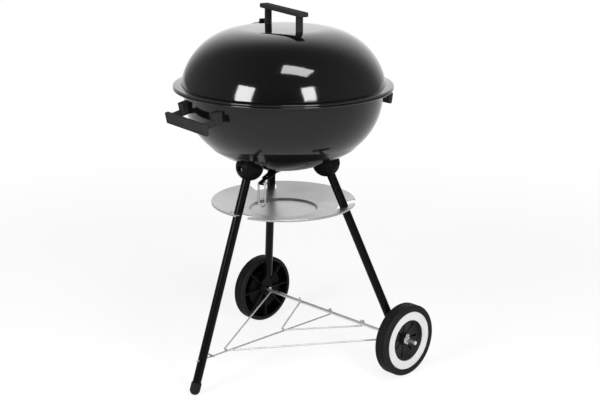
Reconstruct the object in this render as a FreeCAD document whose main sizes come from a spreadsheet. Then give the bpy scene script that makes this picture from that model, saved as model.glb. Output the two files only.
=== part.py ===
import FreeCAD, Part
import math
import os
import re

import Sketcher

# A kettle charcoal grill on three legs with two wheels. X runs along the axle, the leg without
# a wheel stands towards -Y, Z is up and the ground is z = 0. Every piece is drawn about the
# kettle's own upright axis, and at the end the whole grill is moved along Y until its footprint
# is centred on the origin.

SIZES = {
    # bowl: a dished bottom, a pressed step, a rounded shoulder and a rolled flange
    "steel_thickness": 1.5,
    "bowl_radius": 199.0,
    "bowl_shoulder_height": 578.0,
    "bowl_shoulder_curve": 128.7,
    "bowl_dish_curve": 252.0,
    "bowl_bottom_height": 425.0,
    "bowl_step_radius": 146.0,
    "bowl_step_width": 11.0,
    "rim_height": 594.0,
    "rim_radius": 220.0,
    "rim_bead": 2.2,
    "rim_flare": 4.0,
    # lid: a dome of two tangent curves on a sloping brim with a rolled edge
    "lid_height": 709.6,
    "lid_crown_curve": 3000.0,
    "lid_shoulder_curve": 131.6,
    "lid_shoulder_radius": 206.2,
    "lid_brim_fall": 1.4,
    "lid_bead": 2.0,
    "seat_gap": 0.3,
    # lid handle
    "lid_handle_angle": -16.0,
    "lid_handle_top": 748.4,
    "lid_handle_length": 172.0,
    "lid_handle_width": 19.6,
    "lid_handle_spacing": 132.6,
    "handle_thickness": 9.0,
    "handle_rounding": 2.2,
    "handle_border": 4.0,
    "handle_panel_depth": 0.8,
    "post_length": 8.0,
    "post_width": 12.0,
    # side handles
    "front_handle_angle": 261.6,
    "front_handle_height": 550.5,
    "rear_handle_angle": 84.7,
    "rear_handle_height": 556.3,
    "side_handle_reach": 35.0,
    "side_handle_length": 145.0,
    "side_handle_width": 22.7,
    "side_handle_spacing": 115.0,
    "arm_width": 12.0,
    "arm_rise": 3.0,
    "arm_foot_length": 18.0,
    "arm_foot_low": 0.0,
    "arm_foot_high": 22.0,
    "arm_foot_thickness": 5.0,
    # handle screws
    "screw_radius": 2.4,
    "screw_depth": 14.0,
    "screw_head_radius": 5.0,
    "screw_head_height": 3.0,
    "screw_clearance": 0.2,
    # lid vent
    "vent_angle": 159.5,
    "vent_distance": 143.0,
    "vent_radius": 32.0,
    "vent_curve": 290.0,
    "vent_thickness": 1.5,
    "vent_hole_radius": 7.0,
    "vent_hole_distance": 18.0,
    "vent_tab_width": 12.0,
    "vent_tab_height": 5.5,
    "vent_rivet_radius": 3.0,
    "vent_rivet_head": 6.0,
    # ash damper: a dished plate in the bowl, turned by a lever under it
    "damper_radius": 55.0,
    "damper_hole_angle": -26.0,
    "damper_hole_radius": 12.0,
    "damper_hole_distance": 34.0,
    "damper_gap": 0.4,
    "pivot_radius": 3.0,
    "pivot_head_radius": 7.0,
    "pivot_head_height": 2.5,
    "lever_angle": -79.0,
    "lever_bend": 35.0,
    "lever_shoulder": 62.0,
    "lever_length": 74.0,
    "lever_width": 18.0,
    "lever_hole_radius": 2.6,
    "lever_thickness": 2.0,
    "lever_top_height": 424.0,
    "lever_fall": 12.0,
    "lever_tongue_width": 9.0,
    "loop_wire_radius": 2.0,
    "loop_width": 16.5,
    "loop_height": 48.0,
    "loop_corner": 2.4,
    "loop_fit": 0.15,
    # legs
    "leg_radius": 8.75,
    "leg_wall": 1.5,
    "leg_ring_radius": 107.0,
    "leg_ring_height": 400.0,
    "foot_distance": 247.0,
    "leg_plug": 24.0,
    "tab_width": 27.0,
    "tab_thickness": 3.5,
    "tab_rise": 26.0,
    "tab_neck": 18.0,
    "tab_offset": 197.5,
    "foot_cap_radius": 10.5,
    "foot_cap_height": 25.0,
    "foot_cap_floor": 3.0,
    "push_fit": 0.05,
    # leg sockets under the bowl
    "socket_radius": 27.8,
    "socket_web": 4.0,
    "socket_key": 14.0,
    "socket_recess_width": 14.0,
    "socket_recess_height": 9.0,
    "socket_recess_floor": 16.0,
    "bolt_radius": 3.0,
    "bolt_head_radius": 7.0,
    "bolt_head_height": 4.0,
    "bolt_length": 26.0,
    "lock_screw_radius": 2.0,
    "lock_screw_head": 3.6,
    # axle, washers and split pins
    "axle_radius": 4.0,
    "axle_distance": 138.0,
    "axle_height": 75.0,
    "axle_half_length": 247.0,
    "running_fit": 0.08,
    "washer_radius": 8.0,
    "washer_thickness": 1.6,
    "washer_gap": 0.2,
    "pin_wire_radius": 1.2,
    "pin_eye_radius": 3.6,
    "pin_tail": 9.0,
    # wheels
    "wheel_radius": 75.0,
    "wheel_width": 28.0,
    "wheel_inner_face": 202.0,
    "wheel_edge_curve": 4.0,
    "hub_recess": 17.0,
    "hub_boss_radius": 11.0,
    "hub_boss_sink": 8.0,
    "hub_inner_radius": 13.0,
    "hub_gap": 0.3,
    "wheel_web": 3.5,
    "wheel_ring_outer": 61.0,
    "wheel_ring_inner": 43.7,
    "wheel_ring_thickness": 2.0,
    "wheel_ring_sink": 1.0,
    "wheel_cavity_radius": 66.0,
    "wheel_wall": 2.3,
    "wheel_rib": 3.0,
    "wheel_groove": 3.0,
    "wheel_groove_depth": 2.0,
    # wire rack between the foot leg and the axle
    "rack_wire_radius": 1.75,
    "rack_outer_vertex": 169.0,
    "rack_inner_vertex": 8.0,
    "rack_inner_half_width": 98.0,
    "rack_stop_distance": 201.0,
    "rack_stop_length": 22.0,
    "rack_vertex_curve": 9.0,
    "rack_tail": 5.0,
    # ash catcher: a shallow tray that turns onto the three legs
    "ash_radius": 147.5,
    "ash_height": 357.0,
    "ash_thickness": 1.2,
    "ash_lip": 4.0,
    "ash_well_radius": 67.0,
    "ash_well_height": 336.8,
    "ash_shelf_radius": 70.0,
    "ash_shelf_height": 340.5,
    "ash_slot_inner": 113.0,
    "ash_slot_outer": 136.0,
    "ash_slot_start": -6.5,
    "ash_slot_end": 18.0,
    "ash_notch_start": 6.7,
    # grates and the brackets that carry them
    "bracket_thickness": 2.0,
    "bracket_width": 16.0,
    "cooking_ledge_height": 566.0,
    "cooking_ledge_length": 13.0,
    "charcoal_ledge_height": 497.0,
    "charcoal_ledge_length": 16.0,
    "cooking_grate_radius": 192.0,
    "cooking_wire_radius": 2.5,
    "cooking_rod_radius": 1.8,
    "cooking_rod_pitch": 16.0,
    "charcoal_grate_radius": 162.0,
    "charcoal_wire_radius": 3.0,
    "charcoal_rod_radius": 2.5,
    "charcoal_rod_pitch": 24.0,
}

# Sizes that follow from the ones above, each written once as a formula.
DERIVED = {
    "bowl_shoulder_centre": "bowl_radius - bowl_shoulder_curve",
    "bowl_dish_centre": "bowl_bottom_height + bowl_dish_curve",
    "bowl_step_outer": "bowl_step_radius + bowl_step_width",
    "rim_bead_height": "rim_height - rim_bead",
    "flange_underside": "rim_height - steel_thickness",
    "lid_bead_height": "rim_height + seat_gap + lid_bead",
    "lid_bead_top": "lid_bead_height + lid_bead",
    "lid_base_height": "lid_bead_top + lid_brim_fall",
    "lid_crown_centre": "lid_height - lid_crown_curve",
    "lid_shoulder_centre": "lid_shoulder_radius - lid_shoulder_curve",
    "lid_curve_offset": "lid_crown_curve - lid_shoulder_curve",
    "lid_shoulder_level": "lid_crown_centre + sqrt(lid_curve_offset ^ 2 - lid_shoulder_centre ^ 2)",
    "socket_bore": "leg_radius + push_fit",
    "axle_bore": "axle_radius + running_fit",
    "rack_eye": "axle_radius + rack_wire_radius + seat_gap",
    "rack_level": "axle_height - rack_eye",
    "rack_upper_level": "rack_level + 2 * rack_wire_radius",
    "hub_outer": "wheel_width - hub_boss_sink",
    "hub_inner": "tab_offset + tab_thickness / 2 + hub_gap - wheel_inner_face",
    "washer_seat": "wheel_inner_face + hub_outer + washer_gap",
    "pin_offset": "washer_seat + washer_thickness + pin_wire_radius + seat_gap",
    "recess_floor": "wheel_width - hub_recess",
    "ring_seat": "wheel_width - wheel_ring_sink - wheel_ring_thickness",
    "lever_eye": "loop_wire_radius + loop_fit + lever_thickness",
    "lever_end_height": "lever_top_height - lever_fall",
    "lever_slope": "lever_fall / (lever_length - lever_bend)",
    "lever_shoulder_height": "lever_top_height - lever_slope * (lever_shoulder - lever_bend)",
    "loop_bar_height": "lever_end_height - lever_eye",
    "damper_hole_x": "damper_hole_distance * cos(damper_hole_angle)",
    "damper_hole_y": "damper_hole_distance * sin(damper_hole_angle)",
    "damper_underside": "bowl_dish_curve - steel_thickness - damper_gap",
    "damper_topside": "damper_underside - steel_thickness",
}

document = FreeCAD.newDocument("kettle_grill")
sheet = document.addObject("Spreadsheet::Sheet", "sizes")
for row, (size_name, size) in enumerate(SIZES.items(), start=1):
    sheet.set(f"A{row}", size_name)
    sheet.set(f"B{row}", str(size))
    sheet.setAlias(f"B{row}", size_name)
document.recompute()

Z_AXIS = FreeCAD.Vector(0, 0, 1)
X_AXIS = FreeCAD.Vector(1, 0, 0)
Y_AXIS = FreeCAD.Vector(0, 1, 0)
sub_parts = []


def formula(text):
    """The formula with every name in it led back to the cells of the sheet."""
    def lookup(match):
        name = match.group(0)
        if name in DERIVED:
            return "(" + formula(DERIVED[name]) + ")"
        return "sizes." + name if name in SIZES else name
    return re.sub(r"[a-z_]+", lookup, str(text))


def value(text):
    """What a formula comes to, as a plain number."""
    result = sheet.evalExpression(formula(text))
    return float(getattr(result, "Value", result))


def bind(piece, **properties):
    """Ties properties of an object to formulas."""
    for name, text in properties.items():
        piece.setExpression(name, formula(text))


def keep(piece, label):
    """Marks an object as a sub-part, under the name that its file will have."""
    piece.Label = label
    sub_parts.append(piece)
    return piece


def frame(origin, z_direction, x_hint=X_AXIS):
    """A placement at origin with Z along z_direction and X as near to x_hint as it can be."""
    z = FreeCAD.Vector(z_direction).normalize()
    y = z.cross(x_hint).normalize()
    return FreeCAD.Placement(origin, FreeCAD.Rotation(y.cross(z), y, z, "ZXY"))


def polar(radius, degrees, height=0.0):
    """A point at a radius and an angle about the kettle's axis."""
    turn = math.radians(degrees)
    return FreeCAD.Vector(radius * math.cos(turn), radius * math.sin(turn), height)


# ---------------------------------------------------------------- drawing helpers


def new_body(name):
    return document.addObject("PartDesign::Body", name)


def sketch_on(body, role, name, lift=None):
    """An empty sketch on one of the body's origin planes, or lifted off it by a formula."""
    sketch = body.newObject("Sketcher::SketchObject", name)
    plane = next(feature for feature in body.Origin.OriginFeatures if feature.Role == role)
    sketch.AttachmentSupport = (plane, "")
    sketch.MapMode = "FlatFace"
    if lift is not None:
        sketch.setExpression("AttachmentOffset.Base.z", formula(lift))
    return sketch


def arc_between(start, end, radius, side):
    """The short arc from start to end with its centre to the left or right of the way along."""
    chord = end - start
    across = FreeCAD.Vector(-chord.y, chord.x, 0).normalize()
    away = math.sqrt(max(radius ** 2 - (chord.Length / 2) ** 2, 0.0))
    if side == "right":
        away = -away
        start, end = end, start
    centre = (start + end) / 2 + across * away
    circle = Part.Circle(centre, Z_AXIS, radius)
    first, last = (math.atan2(p.y - centre.y, p.x - centre.x) for p in (start, end))
    return Part.ArcOfCircle(circle, first, last)


def draw_outline(sketch, corners):
    """Closes an outline through the corners. Each corner is (x, y), or (x, y, side, radius)
    where an arc leads on to the next corner. All are formulas, and all are constrained."""
    points = [FreeCAD.Vector(value(corner[0]), value(corner[1]), 0) for corner in corners]
    ends = []
    for index, corner in enumerate(corners):
        start, end = points[index], points[(index + 1) % len(points)]
        if len(corner) == 2:
            ends.append((sketch.addGeometry(Part.LineSegment(start, end), False), 1, 2))
        else:
            arc = arc_between(start, end, value(corner[3]), corner[2])
            order = (1, 2) if corner[2] == "left" else (2, 1)
            ends.append((sketch.addGeometry(arc, False), *order))
    for index, (side, start, end) in enumerate(ends):
        following = ends[(index + 1) % len(ends)]
        sketch.addConstraint(
            Sketcher.Constraint("Coincident", side, end, following[0], following[1]))
    for index, (side, start, end) in enumerate(ends):
        corner = corners[index]
        for axis, text, line in (("X", corner[0], -2), ("Y", corner[1], -1)):
            if text == "0":
                sketch.addConstraint(Sketcher.Constraint("PointOnObject", side, start, line))
                continue
            constraint = Sketcher.Constraint("Distance" + axis, -1, 1, side, start, value(text))
            number = sketch.addConstraint(constraint)
            sketch.setExpression(f"Constraints[{number}]", formula(text))
        if len(corner) == 4:
            constraint = Sketcher.Constraint("Radius", side, value(corner[3]))
            number = sketch.addConstraint(constraint)
            sketch.setExpression(f"Constraints[{number}]", formula(corner[3]))
    return sketch


def draw_circle(sketch, x, y, radius):
    """A full circle, placed and sized by formulas."""
    centre = FreeCAD.Vector(value(x), value(y), 0)
    circle = sketch.addGeometry(Part.Circle(centre, Z_AXIS, value(radius)), False)
    for axis, text, line in (("X", x, -2), ("Y", y, -1)):
        if text == "0":
            sketch.addConstraint(Sketcher.Constraint("PointOnObject", circle, 3, line))
            continue
        constraint = Sketcher.Constraint("Distance" + axis, -1, 1, circle, 3, value(text))
        number = sketch.addConstraint(constraint)
        sketch.setExpression(f"Constraints[{number}]", formula(text))
    number = sketch.addConstraint(Sketcher.Constraint("Radius", circle, value(radius)))
    sketch.setExpression(f"Constraints[{number}]", formula(radius))
    return sketch


def rectangle(left, right, low, high):
    return [(left, low), (right, low), (right, high), (left, high)]


def revolved(name, corners):
    """A body turned about Z from an outline in its XZ plane, given as (radius, height)."""
    body = new_body(name)
    sketch = draw_outline(sketch_on(body, "XZ_Plane", name + "_profile"), corners)
    turned = body.newObject("PartDesign::Revolution", name + "_turned")
    turned.Profile = sketch
    turned.ReferenceAxis = (sketch, ["V_Axis"])
    turned.Angle = 360
    document.recompute()
    return body


def padded(body, sketch, name, length, midplane=True):
    """Adds a pad to the body, half to each side of the sketch unless midplane is off."""
    pad = body.newObject("PartDesign::Pad", name)
    pad.Profile = sketch
    pad.setExpression("Length", formula(length))
    pad.Midplane = midplane
    document.recompute()
    return pad


def pocketed(body, sketch, name, length=None):
    """Cuts the sketch out of the body through everything on both sides, or down by a length."""
    before = body.Shape.Volume
    pocket = body.newObject("PartDesign::Pocket", name)
    pocket.Profile = sketch
    if length is None:
        pocket.Type = "ThroughAll"
        pocket.Midplane = True
    else:
        pocket.setExpression("Length", formula(length))
    document.recompute()
    if body.Shape.Volume >= before:
        raise RuntimeError(name + " cuts nothing")
    return pocket


def around(body, feature, name, count):
    """Repeats a feature evenly about the body's Z axis."""
    pattern = body.newObject("PartDesign::PolarPattern", name)
    pattern.Originals = [feature]
    axis = next(item for item in body.Origin.OriginFeatures if item.Role == "Z_Axis")
    pattern.Axis = (axis, [""])
    pattern.Angle = 360
    pattern.Occurrences = count
    body.Tip = pattern
    document.recompute()
    return pattern


def cylinder(name, radius, length, placement=None):
    piece = document.addObject("Part::Cylinder", name)
    bind(piece, Radius=radius, Height=length)
    piece.Placement = placement or FreeCAD.Placement()
    return piece


def fused(name, pieces):
    joined = document.addObject("Part::MultiFuse", name)
    joined.Shapes = pieces
    joined.Refine = True
    return joined


def cut(name, base, tools):
    """The base with every tool cut out of it."""
    result = document.addObject("Part::Cut", name)
    result.Base = base
    result.Tool = tools[0] if len(tools) == 1 else fused(name + "_tools", tools)
    return result


def bent_wire(name, points, radii, wire_radius, closed=False):
    """A round wire through the points, with an arc of its own radius in every corner."""
    count = len(points)
    corners = range(count) if closed else range(1, count - 1)
    trimmed = {}
    for corner, radius in zip(corners, radii):
        here = points[corner]
        back = (points[corner - 1] - here).normalize()
        ahead = (points[(corner + 1) % count] - here).normalize()
        half_angle = back.getAngle(ahead) / 2
        reach = radius / math.tan(half_angle)
        inward = (back + ahead).normalize()
        middle = here + inward * (radius / math.sin(half_angle) - radius)
        trimmed[corner] = (here + back * reach, middle, here + ahead * reach)
    edges = []
    for index in range(count if closed else count - 1):
        following = (index + 1) % count
        start = trimmed[index][2] if index in trimmed else points[index]
        end = trimmed[following][0] if following in trimmed else points[following]
        if (end - start).Length > 1e-6:
            edges.append(Part.LineSegment(start, end).toShape())
        if following in trimmed:
            edges.append(Part.Arc(*trimmed[following]).toShape())
    path = Part.Wire(edges)
    first = edges[0]
    heading = first.tangentAt(first.FirstParameter)
    section = Part.Wire([Part.Circle(first.valueAt(first.FirstParameter), heading, wire_radius).toShape()])
    tube = path.makePipeShell([section], True, False)
    expected = math.pi * wire_radius ** 2 * path.Length
    if abs(tube.Volume / expected - 1) > 0.01:
        raise RuntimeError(f"{name} has volume {tube.Volume:.1f}, not {expected:.1f}")
    piece = document.addObject("Part::Feature", name)
    piece.Shape = tube
    return piece


# ---------------------------------------------------------------- where the legs stand


def leg_lines():
    """For each leg, its name, a point on its axis under the bowl and the way down along it."""
    ring = value("leg_ring_radius")
    height = value("leg_ring_height")
    axle_y, axle_z, side = value("axle_distance"), value("axle_height"), value("tab_offset")
    lower_ends = {
        "foot": (270, FreeCAD.Vector(0, -value("foot_distance"), 0)),
        "right": (30, FreeCAD.Vector(side, axle_y, axle_z)),
        "left": (150, FreeCAD.Vector(-side, axle_y, axle_z)),
    }
    centre = FreeCAD.Vector(0, 0, value("bowl_dish_centre"))
    lines = []
    for name, (angle, lower) in lower_ends.items():
        upper = polar(ring, angle, height)
        down = (lower - upper).normalize()
        along = (upper - centre).dot(down)
        root = math.sqrt(along ** 2 - (upper - centre).Length ** 2 + value("bowl_dish_curve") ** 2)
        lines.append((name, upper + down * (root - along), down, lower))
    return lines


LEGS = leg_lines()


# ---------------------------------------------------------------- bowl


def bowl_height_outside(radius, inset="0"):
    """Formula for the height of the bowl's shoulder at a radius, inset from its outer skin."""
    curve = f"(bowl_shoulder_curve - {inset})"
    return f"bowl_shoulder_height - sqrt({curve} ^ 2 - ({radius} - bowl_shoulder_centre) ^ 2)"


def dish_height(radius, inset="0"):
    """Formula for the height of the dished bottom at a radius, inset from its outer skin."""
    return f"bowl_dish_centre - sqrt((bowl_dish_curve - {inset}) ^ 2 - ({radius}) ^ 2)"


def bowl_envelope():
    """The space that the bowl's outer skin fills, with a seating gap, for cutting neighbours."""
    shoulder = "bowl_shoulder_curve + seat_gap"
    dish = "bowl_dish_curve + seat_gap"
    corners = [
        ("0", "bowl_bottom_height - seat_gap", "left", dish),
        ("bowl_step_radius", dish_height("bowl_step_radius", "(-seat_gap)")),
        ("bowl_step_outer", bowl_height_outside("bowl_step_outer", "(-seat_gap)"), "left", shoulder),
        ("bowl_radius + seat_gap", "bowl_shoulder_height"),
        ("bowl_radius + seat_gap", "rim_height"),
        ("0", "rim_height"),
    ]
    return revolved("bowl_envelope", corners)


def make_bowl():
    inner_flare = "rim_flare + steel_thickness"
    flare_start = "flange_underside - rim_flare"
    bead_centre = "rim_radius - rim_bead"
    corners = [
        ("0", "bowl_bottom_height", "left", "bowl_dish_curve"),
        ("bowl_step_radius", dish_height("bowl_step_radius")),
        ("bowl_step_outer", bowl_height_outside("bowl_step_outer"), "left", "bowl_shoulder_curve"),
        ("bowl_radius", "bowl_shoulder_height"),
        ("bowl_radius", flare_start, "right", "rim_flare"),
        ("bowl_radius + rim_flare", "flange_underside"),
        ("rim_radius - 2 * rim_bead", "flange_underside"),
        ("rim_radius - 2 * rim_bead", "rim_bead_height", "left", "rim_bead"),
        (bead_centre, "rim_bead_height - rim_bead", "left", "rim_bead"),
        ("rim_radius", "rim_bead_height", "left", "rim_bead"),
        (bead_centre, "rim_height"),
        ("bowl_radius + rim_flare", "rim_height", "left", inner_flare),
        ("bowl_radius - steel_thickness", flare_start),
        ("bowl_radius - steel_thickness", "bowl_shoulder_height",
         "right", "bowl_shoulder_curve - steel_thickness"),
        ("bowl_step_outer", bowl_height_outside("bowl_step_outer", "steel_thickness")),
        ("bowl_step_radius", dish_height("bowl_step_radius", "steel_thickness"),
         "right", "bowl_dish_curve - steel_thickness"),
        ("0", "bowl_bottom_height + steel_thickness"),
    ]
    body = revolved("bowl_shell", corners)
    air = sketch_on(body, "XY_Plane", "bowl_air_hole")
    draw_circle(air, "damper_hole_x", "damper_hole_y", "damper_hole_radius")
    around(body, pocketed(body, air, "bowl_air_holes"), "bowl_air_pattern", 4)
    pivot = sketch_on(body, "XY_Plane", "bowl_pivot_hole")
    draw_circle(pivot, "0", "0", "pivot_radius + running_fit")
    body.Tip = pocketed(body, pivot, "bowl_pivot_cut")
    drills = []
    for name, top, down, lower in LEGS:
        start = frame(top - down * value("3 * bolt_head_height"), down)
        drills.append(cylinder(name + "_bowl_drill", "bolt_radius + screw_clearance",
                               "6 * bolt_head_height", start))
    for name, placement in side_handle_frames():
        for side, screw in side_screw_frames(placement):
            drills.append(cylinder(f"{name}_bowl_drill_{side}", "screw_radius + screw_clearance",
                                   "screw_depth", screw))
    return keep(cut("bowl", body, drills), "bowl")


# ---------------------------------------------------------------- lid


def lid_reach(height, inset="0"):
    """Formula for the radius of the lid's shoulder at a height, inset from its outer skin."""
    curve = f"(lid_shoulder_curve - {inset})"
    return f"lid_shoulder_centre + sqrt({curve} ^ 2 - ({height} - lid_shoulder_level) ^ 2)"


def lid_tangent(inset):
    """Formulas for the point where crown and shoulder meet, inset from the outer skin."""
    share = f"((lid_crown_curve - {inset}) / lid_curve_offset)"
    return (f"lid_shoulder_centre * {share}",
            f"lid_crown_centre + (lid_shoulder_level - lid_crown_centre) * {share}")


def make_lid():
    skin = "steel_thickness"
    bead_centre = "rim_radius - lid_bead"
    underside = "lid_bead_top - steel_thickness"
    inner_base = "lid_base_height - steel_thickness"
    corners = [
        ("0", "lid_height", "right", "lid_crown_curve"),
        (*lid_tangent("0"), "right", "lid_shoulder_curve"),
        (lid_reach("lid_base_height"), "lid_base_height"),
        (bead_centre, "lid_bead_top", "right", "lid_bead"),
        ("rim_radius", "lid_bead_height", "right", "lid_bead"),
        (bead_centre, "lid_bead_height - lid_bead", "right", "lid_bead"),
        ("rim_radius - 2 * lid_bead", "lid_bead_height"),
        ("rim_radius - 2 * lid_bead", underside),
        (lid_reach(inner_base, skin), inner_base, "left", "lid_shoulder_curve - steel_thickness"),
        (*lid_tangent(skin), "left", "lid_crown_curve - steel_thickness"),
        ("0", "lid_height - steel_thickness"),
    ]
    body = revolved("lid_shell", corners)
    drills = []
    for side, placement in lid_screw_frames():
        drills.append(cylinder(f"lid_drill_{side}", "screw_radius + screw_clearance",
                               "screw_depth", placement))
    vent = vent_frame()
    deep = FreeCAD.Placement(FreeCAD.Vector(0, 0, -value("vent_radius")), FreeCAD.Rotation())
    drills.append(cylinder("lid_vent_pivot", "vent_rivet_radius + running_fit",
                           "2 * vent_radius", vent * deep))
    for quarter in range(4):
        spot = polar(value("vent_hole_distance"), 90 * quarter + 45, -value("vent_radius"))
        drills.append(cylinder(f"lid_vent_hole_{quarter}", "vent_hole_radius", "2 * vent_radius",
                               vent * FreeCAD.Placement(spot, FreeCAD.Rotation())))
    return keep(cut("lid", body, drills), "lid")


def vent_frame():
    """The lid's skin at the vent's centre, with Z along its normal and X towards the top."""
    angle, distance = value("vent_angle"), value("vent_distance")
    offset = distance - value("lid_shoulder_centre")
    lean = math.degrees(math.asin(offset / value("lid_shoulder_curve")))
    height = value("lid_shoulder_level") + value("lid_shoulder_curve") * math.cos(math.radians(lean))
    normal = polar(math.sin(math.radians(lean)), angle, math.cos(math.radians(lean)))
    return frame(polar(distance, angle, height), normal, polar(-1, angle))


def make_vent():
    """A dished vent plate with four holes and an upturned finger tab, and its rivet."""
    upper = "vent_curve + vent_thickness"
    centre = "seat_gap - vent_curve"
    corners = [
        ("0", "seat_gap", "right", "vent_curve"),
        ("vent_radius", f"{centre} + sqrt(vent_curve ^ 2 - vent_radius ^ 2)"),
        ("vent_radius", f"{centre} + sqrt(({upper}) ^ 2 - vent_radius ^ 2)", "left", upper),
        ("0", f"{centre} + {upper}"),
    ]
    body = revolved("lid_vent_body", corners)
    tab = sketch_on(body, "XZ_Plane", "vent_tab_side")
    low = "vent_thickness / 2 - vent_radius ^ 2 / vent_curve / 2"
    draw_outline(tab, [
        ("vent_radius - vent_thickness", low),
        ("vent_radius + 4 * vent_thickness", low),
        ("vent_radius + 4 * vent_thickness", f"{low} + vent_tab_height"),
        ("vent_radius + 3 * vent_thickness", f"{low} + vent_tab_height"),
        ("vent_radius + 3 * vent_thickness", f"{low} + vent_thickness"),
        ("vent_radius - vent_thickness", f"{low} + vent_thickness"),
    ])
    padded(body, tab, "vent_tab", "vent_tab_width")
    hole = sketch_on(body, "XY_Plane", "vent_plate_hole")
    diagonal = "vent_hole_distance / sqrt(2)"
    draw_circle(hole, diagonal, diagonal, "vent_hole_radius")
    around(body, pocketed(body, hole, "vent_plate_holes"), "vent_hole_pattern", 4)
    pivot = sketch_on(body, "XY_Plane", "vent_pivot_hole")
    draw_circle(pivot, "0", "0", "vent_rivet_radius + running_fit")
    body.Tip = pocketed(body, pivot, "vent_pivot_cut")
    body.Placement = vent_frame()
    keep(body, "lid_vent")
    grip = "seat_gap + vent_thickness + seat_gap"
    below = "0 - steel_thickness - seat_gap"
    rivet = revolved("vent_rivet_body", [
        ("0", f"{below} - vent_rivet_radius"),
        ("vent_rivet_head", f"{below} - vent_rivet_radius"),
        ("vent_rivet_head", below),
        ("vent_rivet_radius", below),
        ("vent_rivet_radius", grip),
        ("vent_rivet_head", grip),
        ("vent_rivet_head - vent_thickness", f"{grip} + vent_rivet_radius"),
        ("0", f"{grip} + vent_rivet_radius"),
    ])
    rivet.Placement = vent_frame()
    keep(rivet, "lid_vent_rivet")


# ---------------------------------------------------------------- handles and their screws


def staple_handle(name, length, width, spacing, post, top, foot):
    """A rounded grip bar along X with a sunk panel on its outer face, and two posts under it from
    height foot up into the bar. A post is its width along Y and the offset of its middle there."""
    body = new_body(name + "_body")
    grip = sketch_on(body, "XZ_Plane", name + "_grip_side")
    draw_outline(grip, rectangle(f"0 - {length} / 2", f"{length} / 2", f"{top} - handle_thickness", top))
    bar = padded(body, grip, name + "_grip", width)
    rounding = body.newObject("PartDesign::Fillet", name + "_rounding")
    rounding.Base = (bar, [f"Edge{number + 1}" for number in range(len(bar.Shape.Edges))])
    rounding.setExpression("Radius", formula("handle_rounding"))
    document.recompute()
    panel = sketch_on(body, "XY_Plane", name + "_panel_outline", top)
    draw_outline(panel, rectangle(f"0 - ({length} / 2 - handle_border)", f"{length} / 2 - handle_border",
                                  f"0 - ({width} / 2 - handle_border)", f"{width} / 2 - handle_border"))
    pocketed(body, panel, name + "_panel", "handle_panel_depth")
    post_width, offset = post
    for side, sign in (("first", "0 - "), ("second", "0 + ")):
        outline = sketch_on(body, "YZ_Plane", f"{name}_{side}_post_outline", f"{sign}{spacing} / 2")
        draw_outline(outline, rectangle(f"{offset} - {post_width} / 2", f"{offset} + {post_width} / 2",
                                        foot, f"{top} - handle_thickness / 2"))
        padded(body, outline, f"{name}_{side}_post", "post_length")
    return body


def screw(name, placement):
    """A round-headed screw: its head starts at z = 0 and its shank runs along +Z."""
    body = revolved(name + "_body", [
        ("0", "0 - screw_head_height"),
        ("screw_head_radius - screw_head_height / 2", "0 - screw_head_height"),
        ("screw_head_radius", "0 - screw_head_height / 2"),
        ("screw_head_radius", "0"),
        ("screw_radius", "0"),
        ("screw_radius", "screw_depth"),
        ("0", "screw_depth"),
    ])
    body.Placement = placement
    return keep(body, name)


def lid_screw_frames():
    """Under the lid's skin below each handle post, with Z up into the post."""
    half = value("lid_handle_spacing") / 2
    skin = value("lid_crown_curve - steel_thickness")
    rim = half + value("screw_head_radius")
    height = value("lid_crown_centre") + math.sqrt(skin ** 2 - rim ** 2) - value("seat_gap") / 2
    for side, angle in (("first", 180), ("second", 0)):
        spot = polar(half, angle + value("lid_handle_angle"), height)
        yield side, FreeCAD.Placement(spot, FreeCAD.Rotation())


def make_lid_handle():
    body = staple_handle("lid_handle", "lid_handle_length", "lid_handle_width",
                         "lid_handle_spacing", ("post_width", "0"), "lid_handle_top",
                         "lid_height - 2 * handle_thickness")
    body.Placement = FreeCAD.Placement(
        FreeCAD.Vector(), FreeCAD.Rotation(Z_AXIS, value("lid_handle_angle")))
    dome = document.addObject("Part::Sphere", "lid_handle_seat")
    bind(dome, Radius="lid_crown_curve + seat_gap / 2")
    dome.Placement.Base = FreeCAD.Vector(0, 0, value("lid_crown_centre"))
    tools = [dome]
    for side, placement in lid_screw_frames():
        tools.append(cylinder(f"lid_handle_bore_{side}", "screw_radius", "screw_depth", placement))
        screw(f"lid_handle_screw_{side}", placement)
    keep(cut("lid_handle", body, tools), "lid_handle")


def side_handle_frames():
    """Front and rear: on the bowl's skin, Z along its normal there, X level and Y upwards."""
    for name in ("front", "rear"):
        height = value(f"{name}_handle_height")
        drop = value("bowl_shoulder_height") - height
        lean = math.asin(drop / value("bowl_shoulder_curve"))
        reach = value("bowl_shoulder_centre") + value("bowl_shoulder_curve") * math.cos(lean)
        angle = value(f"{name}_handle_angle")
        normal = polar(math.cos(lean), angle, -math.sin(lean))
        yield name, frame(polar(reach, angle, height), normal, polar(1, angle + 90))


def side_screw_frames(placement):
    """Inside the bowl behind each arm of one side handle, with Z out into the arm."""
    half, rise = value("side_handle_spacing") / 2, value("arm_rise")
    normal = placement.Rotation.multVec(Z_AXIS)
    reach = value("bowl_shoulder_centre")
    for side, sign in (("first", -1), ("second", 1)):
        ray = placement.multVec(FreeCAD.Vector(sign * half, rise, 0))
        step = -value("bowl_radius") / 4
        for _ in range(60):
            point = ray + normal * step
            flat = math.hypot(point.x, point.y) - reach
            level = point.z - value("bowl_shoulder_height")
            step += value("bowl_shoulder_curve - steel_thickness - seat_gap") - math.hypot(flat, level)
        lean = half / value("bowl_radius") + rise / value("bowl_shoulder_curve")
        start = ray + normal * (step - value("screw_head_radius") * lean)
        yield side, FreeCAD.Placement(start, placement.Rotation)


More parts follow.
